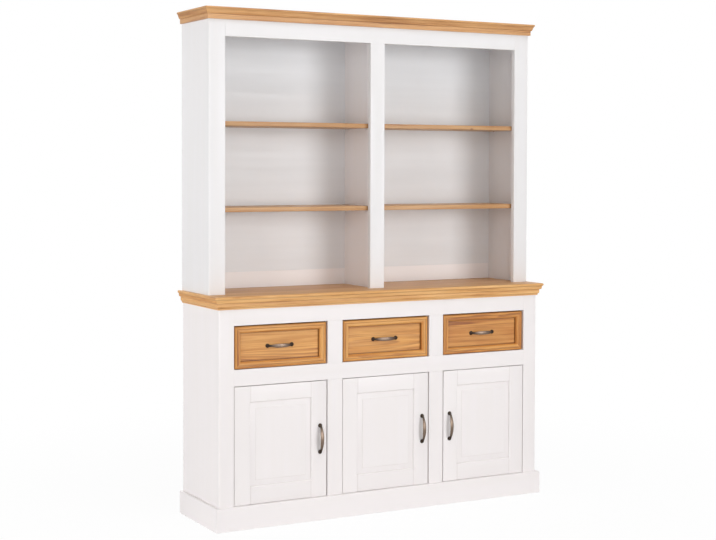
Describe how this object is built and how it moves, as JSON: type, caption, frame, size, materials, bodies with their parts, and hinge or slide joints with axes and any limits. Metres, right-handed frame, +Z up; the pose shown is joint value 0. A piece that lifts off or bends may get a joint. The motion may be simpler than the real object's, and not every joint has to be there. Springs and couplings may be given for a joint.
{
  "type": "buffet cabinet",
  "caption": "Buffet cabinet: drawers over hinged doors in the base, moulded worktop, open shelved hutch above with a cornice.",
  "frame": {"origin": "middle of the footprint on the floor: bottom centre of the bounding box", "axes": "+X to the right seen from the front, +Y to the wall, +Z up; the front faces -Y"},
  "size_m": [1.46, 0.367, 1.9155],
  "materials": {
    "white_paint": "satin white paint over pine",
    "honey_pine": "oiled pine, satin",
    "raw_pine": "plain planed pine",
    "beech": "plain dowel",
    "antique_metal": "antique pewter colour, rubbed lighter on the strap",
    "bright_steel": "plated"
  },
  "bodies": {
    "cabinet": {"base_back": "white_paint", "base_bottom_rail": "white_paint", "base_floor": "white_paint", "base_middle_rail": "white_paint", "base_middle_stiles": "white_paint", "base_outer_stiles": "white_paint", "base_partitions": "white_paint", "base_shelves": "white_paint", "base_sides": "white_paint", "base_top_rail": "white_paint", "cornice_front": "honey_pine", "cornice_sides": "honey_pine", "drawer_kickers": "raw_pine", "drawer_runners": "raw_pine", "drawer_stops": "raw_pine", "hinge_arms": "bright_steel", "hutch_back": "white_paint", "hutch_back_rail": "white_paint", "hutch_divider": "white_paint", "hutch_dowels": "beech", "hutch_middle_stile": "white_paint", "hutch_outer_stiles": "white_paint", "hutch_shelves": "honey_pine", "hutch_sides": "white_paint", "hutch_top": "white_paint", "hutch_top_rail": "white_paint", "plinth_front": "white_paint", "plinth_sides": "white_paint", "shelf_pins": "bright_steel", "worktop_board": "honey_pine", "worktop_edge_front": "honey_pine", "worktop_edge_sides": "honey_pine"},
    "door_left": {"door_left_frame": "white_paint", "door_left_handle": "antique_metal", "door_left_hinge_cups": "bright_steel", "door_left_panel": "white_paint"},
    "door_middle": {"door_middle_frame": "white_paint", "door_middle_handle": "antique_metal", "door_middle_hinge_cups": "bright_steel", "door_middle_panel": "white_paint"},
    "door_right": {"door_right_frame": "white_paint", "door_right_handle": "antique_metal", "door_right_hinge_cups": "bright_steel", "door_right_panel": "white_paint"},
    "drawer_left": {"drawer_left_bottom": "raw_pine", "drawer_left_box": "raw_pine", "drawer_left_front_frame": "honey_pine", "drawer_left_front_panel": "honey_pine", "drawer_left_handle": "antique_metal"},
    "drawer_middle": {"drawer_middle_bottom": "raw_pine", "drawer_middle_box": "raw_pine", "drawer_middle_front_frame": "honey_pine", "drawer_middle_front_panel": "honey_pine", "drawer_middle_handle": "antique_metal"},
    "drawer_right": {"drawer_right_bottom": "raw_pine", "drawer_right_box": "raw_pine", "drawer_right_front_frame": "honey_pine", "drawer_right_front_panel": "honey_pine", "drawer_right_handle": "antique_metal"}
  },
  "joints": [
    {"name": "drawer_left_slide", "type": "slide", "parent": "cabinet", "child": "drawer_left", "axis": [0, -1, 0], "range_m": [0, 0.255]},
    {"name": "drawer_middle_slide", "type": "slide", "parent": "cabinet", "child": "drawer_middle", "axis": [0, -1, 0], "range_m": [0, 0.255]},
    {"name": "drawer_right_slide", "type": "slide", "parent": "cabinet", "child": "drawer_right", "axis": [0, -1, 0], "range_m": [0, 0.255]},
    {"name": "door_left_hinge", "type": "hinge", "parent": "cabinet", "child": "door_left", "pos_m": [-0.618, -0.1495, 0.30725], "axis": [0, 0, -1], "range_deg": [0, 95]},
    {"name": "door_middle_hinge", "type": "hinge", "parent": "cabinet", "child": "door_middle", "pos_m": [-0.169, -0.1495, 0.30725], "axis": [0, 0, -1], "range_deg": [0, 95]},
    {"name": "door_right_hinge", "type": "hinge", "parent": "cabinet", "child": "door_right", "pos_m": [0.618, -0.1495, 0.30725], "axis": [0, 0, 1], "range_deg": [0, 95]}
  ]
}
